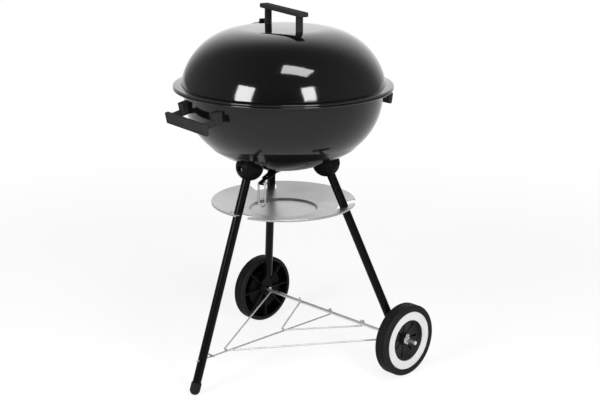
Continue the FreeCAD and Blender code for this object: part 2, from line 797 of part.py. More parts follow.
def make_side_handles(envelope):
    for name, placement in side_handle_frames():
        label = f"side_handle_{name}"
        body = staple_handle(label, "side_handle_length", "side_handle_width", "side_handle_spacing",
                             ("arm_width", "arm_rise"), "side_handle_reach", "0 - side_handle_reach")
        for side, sign in (("first", "0 - "), ("second", "0 + ")):
            foot = sketch_on(body, "YZ_Plane", f"{label}_{side}_foot_outline",
                             f"{sign}side_handle_spacing / 2")
            draw_outline(foot, rectangle("arm_foot_low", "arm_foot_high",
                                         "0 - side_handle_reach", "arm_foot_thickness"))
            padded(body, foot, f"{label}_{side}_foot", "arm_foot_length")
        body.Placement = placement
        tools = [envelope]
        for side, spot in side_screw_frames(placement):
            tools.append(cylinder(f"{label}_bore_{side}", "screw_radius", "screw_depth", spot))
            screw(f"{label}_screw_{side}", spot)
        keep(cut(label, body, tools), label)


# ---------------------------------------------------------------- ash damper


def make_damper():
    """The plate that closes the bowl's air holes, its pivot pin, lever and pull loop."""
    rim = "damper_radius"
    plate = revolved("damper_plate_body", [
        ("0", "bowl_dish_centre - damper_underside", "left", "damper_underside"),
        (rim, f"bowl_dish_centre - sqrt(damper_underside ^ 2 - {rim} ^ 2)"),
        (rim, f"bowl_dish_centre - sqrt(damper_topside ^ 2 - {rim} ^ 2)", "right", "damper_topside"),
        ("0", "bowl_dish_centre - damper_topside"),
    ])
    hole = sketch_on(plate, "XY_Plane", "damper_hole")
    draw_circle(hole, "damper_hole_x", "damper_hole_y", "damper_hole_radius")
    around(plate, pocketed(plate, hole, "damper_holes"), "damper_hole_pattern", 4)
    pivot = sketch_on(plate, "XY_Plane", "damper_pivot_hole")
    draw_circle(pivot, "0", "0", "pivot_radius")
    plate.Tip = pocketed(plate, pivot, "damper_pivot_cut")
    keep(plate, "damper_plate")

    plate_top = "bowl_dish_centre - sqrt(damper_topside ^ 2 - pivot_head_radius ^ 2)"
    lever_low = "lever_top_height - lever_thickness"
    pin = revolved("damper_pin_body", [
        ("0", f"{lever_low} - pivot_head_height"),
        ("pivot_head_radius", f"{lever_low} - pivot_head_height"),
        ("pivot_head_radius", lever_low),
        ("pivot_radius", lever_low),
        ("pivot_radius", plate_top),
        ("pivot_head_radius", plate_top),
        ("pivot_head_radius", f"{plate_top} + pivot_head_height / 2"),
        ("pivot_head_radius - pivot_head_height / 2", f"{plate_top} + pivot_head_height"),
        ("0", f"{plate_top} + pivot_head_height"),
    ])
    keep(pin, "damper_pivot")

    turn = FreeCAD.Placement(FreeCAD.Vector(), FreeCAD.Rotation(Z_AXIS, value("lever_angle")))
    lever = new_body("damper_lever_body")
    strip = sketch_on(lever, "XZ_Plane", "lever_strip_side")
    hub = "pivot_head_radius + lever_thickness"
    draw_outline(strip, [
        (f"0 - ({hub})", lever_low),
        ("lever_bend", lever_low),
        ("lever_shoulder", "lever_shoulder_height - lever_thickness"),
        ("lever_shoulder", "lever_shoulder_height"),
        ("lever_bend", "lever_top_height"),
        (f"0 - ({hub})", "lever_top_height"),
    ])
    padded(lever, strip, "lever_strip", "lever_width")
    tongue = sketch_on(lever, "XZ_Plane", "lever_tongue_side")
    tongue_root = "lever_shoulder - lever_thickness"
    root_height = "lever_shoulder_height + lever_slope * lever_thickness"
    draw_outline(tongue, [
        (tongue_root, f"{root_height} - lever_thickness"),
        ("lever_length", "lever_end_height - lever_thickness"),
        ("lever_length", "lever_end_height"),
        (tongue_root, root_height),
    ])
    padded(lever, tongue, "lever_tongue", "lever_tongue_width")
    curl = sketch_on(lever, "XZ_Plane", "lever_curl_side")
    draw_circle(curl, "lever_length", "loop_bar_height", "lever_eye")
    padded(lever, curl, "lever_curl", "lever_tongue_width")
    bore = sketch_on(lever, "XZ_Plane", "lever_curl_bore")
    draw_circle(bore, "lever_length", "loop_bar_height", "loop_wire_radius + loop_fit")
    pocketed(lever, bore, "lever_curl_hole")
    pivot = sketch_on(lever, "XY_Plane", "lever_holes")
    draw_circle(pivot, "0", "0", "pivot_radius")
    draw_circle(pivot, "lever_shoulder - 3 * lever_hole_radius", "0", "lever_hole_radius")
    lever.Tip = pocketed(lever, pivot, "lever_pivot_cut")
    lever.Placement = turn
    keep(lever, "damper_lever")

    reach, half, top = value("lever_length"), value("loop_width") / 2, value("loop_bar_height")
    bottom = top - value("loop_height")
    ring = [FreeCAD.Vector(reach, side, height)
            for side, height in ((-half, top), (half, top), (half, bottom), (-half, bottom))]
    small, large = value("loop_corner"), half - value("push_fit")
    loop = bent_wire("damper_loop", [turn.multVec(point) for point in ring],
                     [small, small, large, large], value("loop_wire_radius"), closed=True)
    keep(loop, "damper_loop")


# ---------------------------------------------------------------- legs, sockets, foot and axle


def make_sockets(envelope):
    """Domed sockets under the bowl, each with the bolt and the screw that hold its leg."""
    for name, top, down, lower in LEGS:
        outward = FreeCAD.Vector(top.x, top.y, 0)
        place = frame(top, down, outward)
        body = revolved(f"{name}_socket_dome", [
            ("0", "0 - socket_web"),
            ("socket_radius", "0 - socket_web"),
            ("socket_radius", "0", "left", "socket_radius"),
            ("socket_bore + leg_wall", "sqrt(socket_radius ^ 2 - (socket_bore + leg_wall) ^ 2)"),
            ("0", "sqrt(socket_radius ^ 2 - (socket_bore + leg_wall) ^ 2)"),
        ])
        recess = sketch_on(body, "XZ_Plane", f"{name}_socket_recess_side")
        draw_outline(recess, rectangle("socket_recess_floor", "2 * socket_radius",
                                       "socket_web", "socket_web + socket_recess_height"))
        recess_cut = body.newObject("PartDesign::Pocket", f"{name}_socket_recess")
        recess_cut.Profile = recess
        recess_cut.setExpression("Length", formula("socket_recess_width"))
        recess_cut.Midplane = True
        key = sketch_on(body, "XZ_Plane", f"{name}_socket_key_side")
        draw_outline(key, rectangle("socket_radius - socket_web", "socket_radius + socket_web / 2",
                                    "0 - 2 * socket_web", "0"))
        padded(body, key, f"{name}_socket_key", "socket_key")
        body.Placement = place
        bore = cylinder(f"{name}_socket_bore", "socket_bore", "2 * socket_radius",
                        place * FreeCAD.Placement(Z_AXIS * value("socket_web"), FreeCAD.Rotation()))
        drill = cylinder(f"{name}_socket_drill", "bolt_radius + screw_clearance", "4 * socket_web",
                         place * FreeCAD.Placement(Z_AXIS * value("0 - 2 * socket_web"), FreeCAD.Rotation()))
        lock = lock_screw_frame(place)
        lock_hole = cylinder(f"{name}_socket_lock_hole", "lock_screw_radius + screw_clearance",
                             "socket_radius", lock)
        keep(cut(f"{name}_socket", body, [envelope, bore, drill, lock_hole]), f"leg_socket_{name}")
        make_socket_bolt(name, place)
        make_lock_screw(name, lock)


def lock_screw_frame(place):
    """In the leg's wall behind the socket's recess, with Z outwards through it."""
    spot = FreeCAD.Vector(value("leg_radius - leg_wall"), 0, value("socket_web + socket_recess_height / 2"))
    return place * FreeCAD.Placement(spot, FreeCAD.Rotation(Y_AXIS, 90))


def make_socket_bolt(name, place):
    """A bolt from inside the bowl, through its skin and the socket, into the leg's plug."""
    under_head = "steel_thickness + 2 * seat_gap + bolt_head_radius ^ 2 / bowl_dish_curve"
    body = revolved(f"{name}_bolt_body", [
        ("0", f"0 - ({under_head}) - bolt_head_height"),
        ("bolt_head_radius - bolt_head_height / 2", f"0 - ({under_head}) - bolt_head_height"),
        ("bolt_head_radius", f"0 - ({under_head}) - bolt_head_height / 2"),
        ("bolt_head_radius", f"0 - ({under_head})"),
        ("bolt_radius", f"0 - ({under_head})"),
        ("bolt_radius", "bolt_length"),
        ("0", "bolt_length"),
    ])
    body.Placement = place
    keep(body, f"leg_bolt_{name}")


def make_lock_screw(name, lock):
    """A small screw in the socket's recess that stops its leg from turning."""
    head_seat = "socket_recess_floor - leg_radius + leg_wall"
    body = revolved(f"{name}_lock_screw_body", [
        ("0", "0"),
        ("lock_screw_radius", "0"),
        ("lock_screw_radius", head_seat),
        ("lock_screw_head", head_seat),
        ("lock_screw_head", f"{head_seat} + lock_screw_radius"),
        ("0", f"{head_seat} + lock_screw_radius"),
    ])
    body.Placement = lock
    keep(body, f"lock_screw_{name}")


def leg_tube(name, place, length):
    """The round tube of a leg with a plugged and drilled top, and its hole for the lock screw."""
    start = place * FreeCAD.Placement(Z_AXIS * value("socket_web"), FreeCAD.Rotation())
    tube = cylinder(f"{name}_tube", "leg_radius", f"{length} - socket_web", start)
    hollow = place * FreeCAD.Placement(Z_AXIS * value("socket_web + leg_plug"), FreeCAD.Rotation())
    bore = cylinder(f"{name}_tube_bore", "leg_radius - leg_wall",
                    f"{length} - socket_web - leg_plug", hollow)
    thread = cylinder(f"{name}_tube_thread", "bolt_radius", "bolt_length", place)
    lock = cylinder(f"{name}_tube_lock", "lock_screw_radius", "2 * leg_wall", lock_screw_frame(place))
    return tube, [bore, thread, lock]


def make_foot_leg():
    """The leg that stands on the ground, drilled for the rack's wire, and its rounded cap."""
    name, top, down, ground = LEGS[0]
    place = frame(top, down, FreeCAD.Vector(top.x, top.y, 0))
    slope = -down.z
    centre = ground - down * (value("foot_cap_radius") / slope)
    length = (centre - top).Length - value("foot_cap_floor")
    tube, tools = leg_tube(name, place, length)
    crossing = top + down * ((top.z - value("rack_level")) / slope)
    start = crossing - Y_AXIS * value("2 * leg_radius")
    tools.append(cylinder("foot_rack_hole", "rack_wire_radius + running_fit", "4 * leg_radius",
                          frame(start, Y_AXIS)))
    keep(cut("foot_leg", tube, tools), "leg_foot")
    mouth = "foot_cap_radius - foot_cap_height"
    cap = revolved("foot_cap_body", [
        ("0", "foot_cap_radius"),
        ("0", "0 - foot_cap_floor"),
        ("leg_radius + push_fit", "0 - foot_cap_floor"),
        ("leg_radius + push_fit", mouth),
        ("foot_cap_radius", mouth),
        ("foot_cap_radius", "0", "left", "foot_cap_radius"),
    ])
    cap.Placement = frame(centre, down)
    keep(cap, "foot_cap")


def slot_wire(short_half, long_half, round_section):
    """A closed wire in XY with four sides: a circle in quarters, or a slot with round ends."""
    if round_section:
        corner = short_half / math.sqrt(2)
        across, along = corner, corner
    else:
        across, along = short_half, long_half - short_half
    a, b, c, d = (FreeCAD.Vector(across, -along, 0), FreeCAD.Vector(across, along, 0),
                  FreeCAD.Vector(-across, along, 0), FreeCAD.Vector(-across, -along, 0))
    if round_section:
        sides = [Part.Arc(a, FreeCAD.Vector(short_half, 0, 0), b),
                 Part.Arc(b, FreeCAD.Vector(0, short_half, 0), c),
                 Part.Arc(c, FreeCAD.Vector(-short_half, 0, 0), d),
                 Part.Arc(d, FreeCAD.Vector(0, -short_half, 0), a)]
    else:
        sides = [Part.LineSegment(a, b), Part.Arc(b, FreeCAD.Vector(0, long_half, 0), c),
                 Part.LineSegment(c, d), Part.Arc(d, FreeCAD.Vector(0, -long_half, 0), a)]
    return Part.Wire([side.toShape() for side in sides])


def make_wheel_legs():
    """The two legs whose flattened ends hold the axle: tube, neck and drilled tab."""
    for name, top, down, axle_eye in LEGS[1:]:
        place = frame(top, down, FreeCAD.Vector(top.x, top.y, 0))
        rise = value("tab_rise")
        tab_down = FreeCAD.Vector(0, down.y, down.z).normalize()
        tab_top = axle_eye - tab_down * rise
        neck_height = tab_top.z + value("tab_neck")
        neck_top = top + down * ((top.z - neck_height) / -down.z)
        tube, tools = leg_tube(name, place, (neck_top - top).Length)

        round_end = slot_wire(value("leg_radius"), 0, True)
        round_end.Placement = frame(neck_top, down, X_AXIS)
        flat_end = slot_wire(value("tab_thickness / 2"), value("tab_width / 2"), False)
        flat_end.Placement = frame(tab_top, tab_down, X_AXIS)
        neck = document.addObject("Part::Feature", f"{name}_neck")
        neck.Shape = Part.makeLoft([round_end, flat_end], True, True)
        blade = document.addObject("Part::Feature", f"{name}_blade")
        blade.Shape = Part.Face(flat_end).extrude(tab_down * rise)
        eye_start = axle_eye - X_AXIS * value("tab_thickness / 2")
        eye = cylinder(f"{name}_tab_end", "tab_width / 2", "tab_thickness", frame(eye_start, X_AXIS, Z_AXIS))
        bored = cut(f"{name}_tube_bored", tube, tools)
        whole = fused(f"{name}_leg_whole", [bored, neck, blade, eye])
        drill_start = axle_eye - X_AXIS * value("2 * tab_thickness")
        drill = cylinder(f"{name}_axle_drill", "axle_radius + running_fit", "4 * tab_thickness",
                         frame(drill_start, X_AXIS, Z_AXIS))
        keep(cut(f"{name}_leg", whole, [drill]), f"leg_{name}")


def axle_point(x):
    return FreeCAD.Vector(x, value("axle_distance"), value("axle_height"))


def make_axle():
    """The axle, cross-drilled near both ends, with a washer and a split pin outside each wheel."""
    half = value("axle_half_length")
    rod = cylinder("axle_rod", "axle_radius", "2 * axle_half_length",
                   frame(axle_point(-half), X_AXIS, Z_AXIS))
    drills = []
    for name, sign in (("right", 1), ("left", -1)):
        outward = X_AXIS * sign
        spot = axle_point(sign * value("pin_offset"))
        drill_start = spot - Z_AXIS * value("2 * axle_radius")
        drills.append(cylinder(f"{name}_pin_hole", "pin_wire_radius", "4 * axle_radius",
                               FreeCAD.Placement(drill_start, FreeCAD.Rotation())))
        washer_start = axle_point(sign * value("washer_seat"))
        place = frame(washer_start, outward, Z_AXIS)
        disc = cylinder(f"{name}_washer_disc", "washer_radius", "washer_thickness", place)
        hole = cylinder(f"{name}_washer_hole", "axle_bore", "washer_thickness", place)
        keep(cut(f"{name}_washer", disc, [hole]), f"washer_{name}")
        eye_height = value("axle_radius + pin_eye_radius + pin_wire_radius")
        ring = document.addObject("Part::Torus", f"{name}_pin_eye")
        bind(ring, Radius1="pin_eye_radius", Radius2="pin_wire_radius")
        ring.Placement = frame(spot + Z_AXIS * eye_height, X_AXIS, Z_AXIS)
        tail_start = spot - Z_AXIS * value("pin_tail")
        tail = cylinder(f"{name}_pin_tail", "pin_wire_radius", "pin_tail + axle_radius + pin_wire_radius",
                        FreeCAD.Placement(tail_start, FreeCAD.Rotation()))
        keep(fused(f"{name}_pin", [ring, tail]), f"split_pin_{name}")
    keep(cut("axle_drilled", rod, drills), "axle")


# ---------------------------------------------------------------- wheels


def make_wheels():
    """Moulded wheels, each with a pressed-in side ring, ribbed behind and grooved in front."""
    cavity_wall = "wheel_ring_inner + wheel_wall"
    cavity_floor = "ring_seat - wheel_web"
    web_back = "recess_floor - wheel_web"
    edge = "wheel_radius - wheel_edge_curve"
    for name, sign in (("right", 1), ("left", -1)):
        body = revolved(f"{name}_wheel_body", [
            ("axle_bore", "hub_inner"),
            ("hub_inner_radius", "hub_inner"),
            ("hub_inner_radius", web_back),
            (cavity_wall, web_back),
            (cavity_wall, cavity_floor),
            ("wheel_cavity_radius", cavity_floor),
            ("wheel_cavity_radius", "0"),
            (edge, "0", "left", "wheel_edge_curve"),
            ("wheel_radius", "wheel_edge_curve"),
            ("wheel_radius", "wheel_width - wheel_edge_curve", "left", "wheel_edge_curve"),
            (edge, "wheel_width"),
            ("wheel_ring_outer + seat_gap", "wheel_width"),
            ("wheel_ring_outer + seat_gap", "ring_seat"),
            ("wheel_ring_inner", "ring_seat"),
            ("wheel_ring_inner", "recess_floor"),
            ("hub_boss_radius", "recess_floor"),
            ("hub_boss_radius", "hub_outer"),
            ("axle_bore", "hub_outer"),
        ])
        groove = sketch_on(body, "XY_Plane", f"{name}_groove_outline", "recess_floor")
        draw_outline(groove, rectangle("hub_boss_radius + wheel_groove",
                                       "wheel_ring_inner - wheel_groove",
                                       "0 - wheel_groove / 2", "wheel_groove / 2"))
        grooves = pocketed(body, groove, f"{name}_groove", "wheel_groove_depth")
        around(body, grooves, f"{name}_grooves", 8)
        rib = sketch_on(body, "XZ_Plane", f"{name}_rib_side")
        draw_outline(rib, [
            ("hub_inner_radius - wheel_rib / 4", "wheel_rib / 2"),
            ("wheel_cavity_radius + wheel_rib / 4", "wheel_rib / 2"),
            ("wheel_cavity_radius + wheel_rib / 4", f"{cavity_floor} + wheel_rib / 4"),
            (f"{cavity_wall} - wheel_rib / 4", f"{cavity_floor} + wheel_rib / 4"),
            (f"{cavity_wall} - wheel_rib / 4", f"{web_back} + wheel_rib / 4"),
            ("hub_inner_radius - wheel_rib / 4", f"{web_back} + wheel_rib / 4"),
        ])
        around(body, padded(body, rib, f"{name}_rib", "wheel_rib"), f"{name}_ribs", 8)
        place = frame(axle_point(sign * value("wheel_inner_face")), X_AXIS * sign, Z_AXIS)
        body.Placement = place
        keep(body, f"wheel_{name}")
        ring = revolved(f"{name}_wheel_ring_body", rectangle(
            "wheel_ring_inner", "wheel_ring_outer", "ring_seat", "ring_seat + wheel_ring_thickness"))
        ring.Placement = place
        keep(ring, f"wheel_ring_{name}")


# ---------------------------------------------------------------- wire rack


def hooked_end(x, splay):
    """Points along the end of a rack wire that runs under the axle and is bent back over it."""
    level, eye = value("rack_level"), value("rack_eye")
    axle_y, wire = value("axle_distance"), value("rack_wire_radius")
    return [
        FreeCAD.Vector(x, axle_y + eye, level),
        FreeCAD.Vector(x, axle_y + eye, level + 2 * eye),
        FreeCAD.Vector(x - (eye + wire) * splay, axle_y - wire, level + 2 * eye),
    ]


def make_rack():
    wire, eye = value("rack_wire_radius"), value("rack_eye")
    corner, bend = eye * 0.999, value("rack_vertex_curve")
    outer_x = value("tab_offset - tab_thickness / 2 - rack_wire_radius - seat_gap")
    vees = (
        ("outer", outer_x, value("rack_outer_vertex")),
        ("inner", value("rack_inner_half_width"), value("rack_inner_vertex")),
    )
    for name, half, vertex in vees:
        tip = FreeCAD.Vector(0, -vertex, value("rack_upper_level"))
        splay = half / (value("axle_distance") + eye + vertex)
        points = hooked_end(-half, -splay)[::-1] + [tip] + hooked_end(half, splay)
        radii = [corner, corner, bend, corner, corner]
        keep(bent_wire(f"rack_{name}", points, radii, wire), f"rack_{name}_wire")
    name, top, down, ground = LEGS[0]
    crossing = top + down * ((top.z - value("rack_level")) / -down.z)
    tail = FreeCAD.Vector(0, crossing.y - value("leg_radius") * 1.1 - value("rack_tail"), crossing.z)
    points = [tail] + hooked_end(0, 0)
    keep(bent_wire("rack_centre", points, [corner, corner], wire), "rack_centre_wire")
    half_stop = value("rack_stop_length") / 2
    start = FreeCAD.Vector(-half_stop, -value("rack_stop_distance"), value("rack_upper_level"))
    keep(cylinder("rack_stop", "rack_wire_radius", "rack_stop_length", frame(start, X_AXIS, Z_AXIS)),
         "rack_stop_wire")


# ---------------------------------------------------------------- ash catcher


def make_ash_catcher():
    """A shallow tray with a turned-down lip and, at each leg, a slot that opens to the edge."""
    skin = "ash_thickness"
    body = revolved("ash_catcher_body", [
        ("0", f"ash_well_height - {skin}"),
        ("ash_well_radius", f"ash_well_height - {skin}"),
        ("ash_shelf_radius", f"ash_shelf_height - {skin}"),
        (f"ash_radius - {skin}", f"ash_height - 1.5 * {skin}"),
        (f"ash_radius - {skin}", "ash_height - ash_lip"),
        ("ash_radius", "ash_height - ash_lip"),
        ("ash_radius", f"ash_height - {skin} / 2"),
        (f"ash_radius - {skin} / 2", "ash_height"),
        ("ash_shelf_radius", "ash_shelf_height"),
        ("ash_well_radius", "ash_well_height"),
        ("0", "ash_well_height"),
    ])

    def spot(radius, angle):
        return (f"({radius}) * sin({angle})", f"0 - ({radius}) * cos({angle})")

    beyond = "ash_radius + ash_lip"
    slot = sketch_on(body, "XY_Plane", "ash_slot_outline")
    draw_outline(slot, [
        (*spot("ash_slot_inner", "ash_slot_start"), "left", "ash_slot_inner"),
        spot("ash_slot_inner", "ash_slot_end"),
        (*spot(beyond, "ash_slot_end"), "right", beyond),
        spot(beyond, "ash_notch_start"),
        (*spot("ash_slot_outer", "ash_notch_start"), "right", "ash_slot_outer"),
        spot("ash_slot_outer", "ash_slot_start"),
    ])
    around(body, pocketed(body, slot, "ash_slot"), "ash_slots", 3)
    keep(body, "ash_catcher")


# ---------------------------------------------------------------- grates and brackets


def make_brackets():
    """Formed strips inside the bowl, each with a ledge for both grates."""
    outer = "(bowl_shoulder_curve - steel_thickness - seat_gap)"
    inner = f"({outer} - bracket_thickness)"

    def skin(height, curve):
        return f"bowl_shoulder_centre + sqrt({curve} ^ 2 - (bowl_shoulder_height - ({height})) ^ 2)"

    top, low = "cooking_ledge_height", "charcoal_ledge_height"
    under_top = f"{top} - bracket_thickness"
    for name, angle in (("rear", 90), ("left", 210), ("right", 330)):
        body = new_body(f"bracket_{name}_body")
        side = sketch_on(body, "XZ_Plane", f"bracket_{name}_side")
        draw_outline(side, [
            (skin(f"{low} - 2 * bracket_thickness", outer), f"{low} - 2 * bracket_thickness",
             "left", outer),
            (skin(top, outer), top),
            (f"{skin(top, outer)} - cooking_ledge_length", top),
            (f"{skin(top, outer)} - cooking_ledge_length", under_top),
            (skin(under_top, inner), under_top, "right", inner),
            (skin(low, inner), low),
            (f"{skin(low, inner)} - charcoal_ledge_length", low),
            (f"{skin(low, inner)} - charcoal_ledge_length", f"{low} - 2 * bracket_thickness"),
        ])
        padded(body, side, f"bracket_{name}_strip", "bracket_width")
        body.Placement = FreeCAD.Placement(FreeCAD.Vector(), FreeCAD.Rotation(Z_AXIS, angle))
        keep(body, f"grate_bracket_{name}")


def make_grate(label, radius, ring_wire, rod_wire, pitch, ledge):
    """A round grate: a ring of wire with parallel rods inside it and two bearers under them."""
    level = value(f"{ledge} + seat_gap + {ring_wire}")
    centre_line = value(f"{radius} - {ring_wire}")
    ring = document.addObject("Part::Torus", label + "_ring")
    bind(ring, Radius1=f"{radius} - {ring_wire}", Radius2=ring_wire)
    ring.Placement.Base = Z_AXIS * level
    pieces = [ring]
    step = value(pitch)
    steps = int((centre_line - step / 2) / step)
    for index in range(-steps, steps + 1):
        half = math.sqrt(centre_line ** 2 - (index * step) ** 2)
        rod = cylinder(f"{label}_rod_{index + steps}", rod_wire, 2 * half,
                       frame(FreeCAD.Vector(-half, index * step, level), X_AXIS, Z_AXIS))
        pieces.append(rod)
    bearer_level = level - value(f"{rod_wire} * 1.8")
    for side, x in (("left", -centre_line / 2), ("right", centre_line / 2)):
        half = math.sqrt(centre_line ** 2 - x ** 2)
        bearer = cylinder(f"{label}_bearer_{side}", rod_wire, 2 * half,
                          frame(FreeCAD.Vector(x, -half, bearer_level), Y_AXIS))
        pieces.append(bearer)
    keep(fused(label + "_joined", pieces), label)


# ---------------------------------------------------------------- the whole grill


skin_space = bowl_envelope()
make_bowl()
make_lid()
make_vent()
make_lid_handle()
make_side_handles(skin_space)
make_damper()
make_sockets(skin_space)
make_foot_leg()
make_wheel_legs()
make_axle()
make_wheels()
make_rack()
make_ash_catcher()
make_brackets()
make_grate("cooking_grate", "cooking_grate_radius", "cooking_wire_radius", "cooking_rod_radius",
           "cooking_rod_pitch", "cooking_ledge_height")
make_grate("charcoal_grate", "charcoal_grate_radius", "charcoal_wire_radius",
           "charcoal_rod_radius", "charcoal_rod_pitch", "charcoal_ledge_height")
document.recompute()

for piece in document.Objects:
    if "Invalid" in piece.State or "Error" in piece.State:
        raise RuntimeError(f"{piece.Name} failed: {piece.State}")
for piece in sub_parts:
    if piece.Shape.isNull() or not piece.Shape.isValid():
        raise RuntimeError(f"{piece.Label} has no valid shape")
    if len(piece.Shape.Solids) != 1:
        raise RuntimeError(f"{piece.Label} is {len(piece.Shape.Solids)} solids")

# The grill's footprint is centred on the origin along Y.
footprint = FreeCAD.BoundBox()
for piece in sub_parts:
    footprint.add(piece.Shape.optimalBoundingBox(False))
centring = FreeCAD.Placement(FreeCAD.Vector(0, -footprint.Center.y, 0), FreeCAD.Rotation())
for piece in sub_parts:
    piece.Placement = centring * piece.Placement

os.makedirs("parts", exist_ok=True)
for piece in sub_parts:
    piece.Shape.exportStep(os.path.join("parts", piece.Label + ".step"))
print(f"{len(sub_parts)} sub-parts, kettle axis at y = {-footprint.Center.y:.3f}")
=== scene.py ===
# %% [markdown]
# # Dressing a kettle charcoal grill
# The grill is already built to size as separate pieces: a bowl and lid of pressed steel, a
# three-legged stand on two wheels, a wire rack, an ash catcher and two grates. This lesson loads
# those pieces, gives each its finish, remakes the wheels with their moulded tread, and lights
# the whole in a small studio. Everything is in metres, with the ground at zero height.

import math

import bmesh
import bpy
from mathutils import Matrix, Vector


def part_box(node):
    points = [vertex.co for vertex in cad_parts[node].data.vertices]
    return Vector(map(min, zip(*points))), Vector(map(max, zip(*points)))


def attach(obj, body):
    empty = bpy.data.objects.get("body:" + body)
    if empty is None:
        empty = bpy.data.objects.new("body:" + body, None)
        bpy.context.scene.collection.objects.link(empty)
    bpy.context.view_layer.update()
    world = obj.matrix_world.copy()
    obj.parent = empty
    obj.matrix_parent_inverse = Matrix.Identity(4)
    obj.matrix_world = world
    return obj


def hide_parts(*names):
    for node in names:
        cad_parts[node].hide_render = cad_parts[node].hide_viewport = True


MM = 0.001
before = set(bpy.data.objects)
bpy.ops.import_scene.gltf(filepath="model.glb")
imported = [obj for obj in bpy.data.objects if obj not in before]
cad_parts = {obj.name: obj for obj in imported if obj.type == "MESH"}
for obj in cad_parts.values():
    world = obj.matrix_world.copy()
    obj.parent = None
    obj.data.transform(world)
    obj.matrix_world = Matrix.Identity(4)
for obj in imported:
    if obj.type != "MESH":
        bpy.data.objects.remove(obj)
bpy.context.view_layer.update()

# %% [markdown]
# ## Writing a finish as sums
# A finish is a network of small shader nodes. Wiring them one by one hides the idea behind the
# plumbing, so one class wraps a socket and lets Python's own signs add the Math nodes. Every
# other node comes from a single method, which sets the node's options first, because some
# options change which sockets it has.

# %% A socket that can be used in sums
class Wire:
    """A value on its way through a network of nodes."""

    def __init__(self, network, socket):
        self.network = network
        self.socket = socket

    def combined(self, operation, first, second):
        return self.network.add("ShaderNodeMath", {"operation": operation}, {0: first, 1: second})

    def __add__(self, other):
        return self.combined("ADD", self, other)

    def __sub__(self, other):
        return self.combined("SUBTRACT", self, other)

    def __rsub__(self, other):
        return self.combined("SUBTRACT", other, self)

    def __mul__(self, other):
        return self.combined("MULTIPLY", self, other)

    __radd__ = __add__
    __rmul__ = __mul__


# %% A network of nodes
def socket_named(sockets, name):
    """A socket by its position, or by the identifier that stays unique where names repeat."""
    if isinstance(name, int):
        return sockets[name]
    return next(socket for socket in sockets if name in (socket.identifier, socket.name))


class Network:
    """A node tree, and one method that adds any node to it."""

    def __init__(self, tree):
        self.tree = tree

    def add(self, kind, settings=None, sockets=None, output=0):
        node = self.tree.nodes.new(kind)
        for name, setting in (settings or {}).items():
            if name == "stops":
                self.set_stops(node.color_ramp, setting)
            else:
                setattr(node, name, setting)
        for name, content in (sockets or {}).items():
            self.feed(node, name, content)
        return Wire(self, socket_named(node.outputs, output))

    def feed(self, node, name, content):
        socket = socket_named(node.inputs, name)
        if isinstance(content, Wire):
            self.tree.links.new(content.socket, socket)
        else:
            socket.default_value = content

    def set_stops(self, ramp, stops):
        while len(ramp.elements) < len(stops):
            ramp.elements.new(1.0)
        for element, (position, level) in zip(ramp.elements, stops):
            element.position = position
            element.color = grey(level)


# %% Plain colours
def grey(level):
    return (level, level, level, 1.0)


def black(level):
    """A black a touch bluer than grey."""
    return (level, level, level * 1.04, 1.0)


def lightened(colour, gain, lift):
    """A colour with every channel multiplied by a gain and then raised by a lift."""
    return tuple(channel * gain + lift for channel in colour[:3]) + (1.0,)


print("one black:", black(0.02), "and the same lightened:", lightened(black(0.02), 1.5, 0.004))

# %% [markdown]
# ## Patterns that finishes share
# Real surfaces differ from place to place: paint clouds a little, plastic has a grain from its
# mould, and edges are rubbed. Painted pictures could hold all that, but they blur close up and
# need unwrapping. The patterns here are worked out from object coordinates instead, which are
# metres on this model, so that a scale of 1000 means a detail of about a millimetre on any piece.

# %% A finish and its usual patterns
# Wear starts where the softened surface leans from the flat one by the first, and is full by the
# second.
WEAR_STARTS, WEAR_FULL = 0.02, 0.25
SPECK_FADE = 0.06


class Finish(Network):
    """A material around one Principled shader."""

    def __init__(self, name, constants):
        self.material = bpy.data.materials.new(name)
        self.material.use_nodes = True
        super().__init__(self.material.node_tree)
        self.shader = self.tree.nodes["Principled BSDF"]
        for socket, constant in constants.items():
            self.shader.inputs[socket].default_value = constant
        self.place = self.add("ShaderNodeTexCoord", output="Object")

    def surface(self, socket, content):
        self.feed(self.shader, socket, content)

    def noise(self, scale, detail=2.0, stretch=(1.0, 1.0, 1.0)):
        stretched = self.add("ShaderNodeMapping", None, {"Vector": self.place, "Scale": stretch})
        sockets = {"Vector": stretched, "Scale": scale, "Detail": detail}
        return self.add("ShaderNodeTexNoise", None, sockets, "Fac")

    def between(self, value, low, high):
        """0 below low, 1 above high and a smooth step between them."""
        sockets = {"Value": value, "From Min": low, "From Max": high}
        return self.add("ShaderNodeMapRange", {"interpolation_type": "SMOOTHSTEP"}, sockets)

    def specks(self, scale, rarity):
        """1 on the few peaks of a fine noise that rise above the rarity, 0 elsewhere."""
        return self.between(self.noise(scale, detail=1.0), rarity, rarity + SPECK_FADE)

    def mixed(self, factor, first, second):
        sockets = {"Factor_Float": factor, "A_Color": first, "B_Color": second}
        return self.add("ShaderNodeMix", {"data_type": "RGBA"}, sockets, "Result_Color")

    def bumped(self, height, depth):
        return self.add("ShaderNodeBump", None, {"Height": height, "Distance": depth}, "Normal")

    def edges(self, width):
        """1 along sharp edges, fading over the given width."""
        softened = self.add("ShaderNodeBevel", {"samples": 4}, {"Radius": width})
        flat = self.add("ShaderNodeNewGeometry", output="Normal")
        agreement = self.add("ShaderNodeVectorMath", {"operation": "DOT_PRODUCT"},
                             {0: softened, 1: flat}, "Value")
        return self.between(1.0 - agreement, WEAR_STARTS, WEAR_FULL)


# %% [markdown]
# ## Enamel
# The bowl and lid are steel dipped in glass enamel and fired. The glass flows to a deep gloss
# with a faint orange peel, a few millimetres from crest to crest, and shows tiny pinholes. A
# clear coat over a dark base would give two glosses, and fired enamel has only one. So there is
# one smooth layer here: nearly all of what the eye sees on it is reflection, its colour is close
# to black, and the waviness of the gloss matters more than the colour.

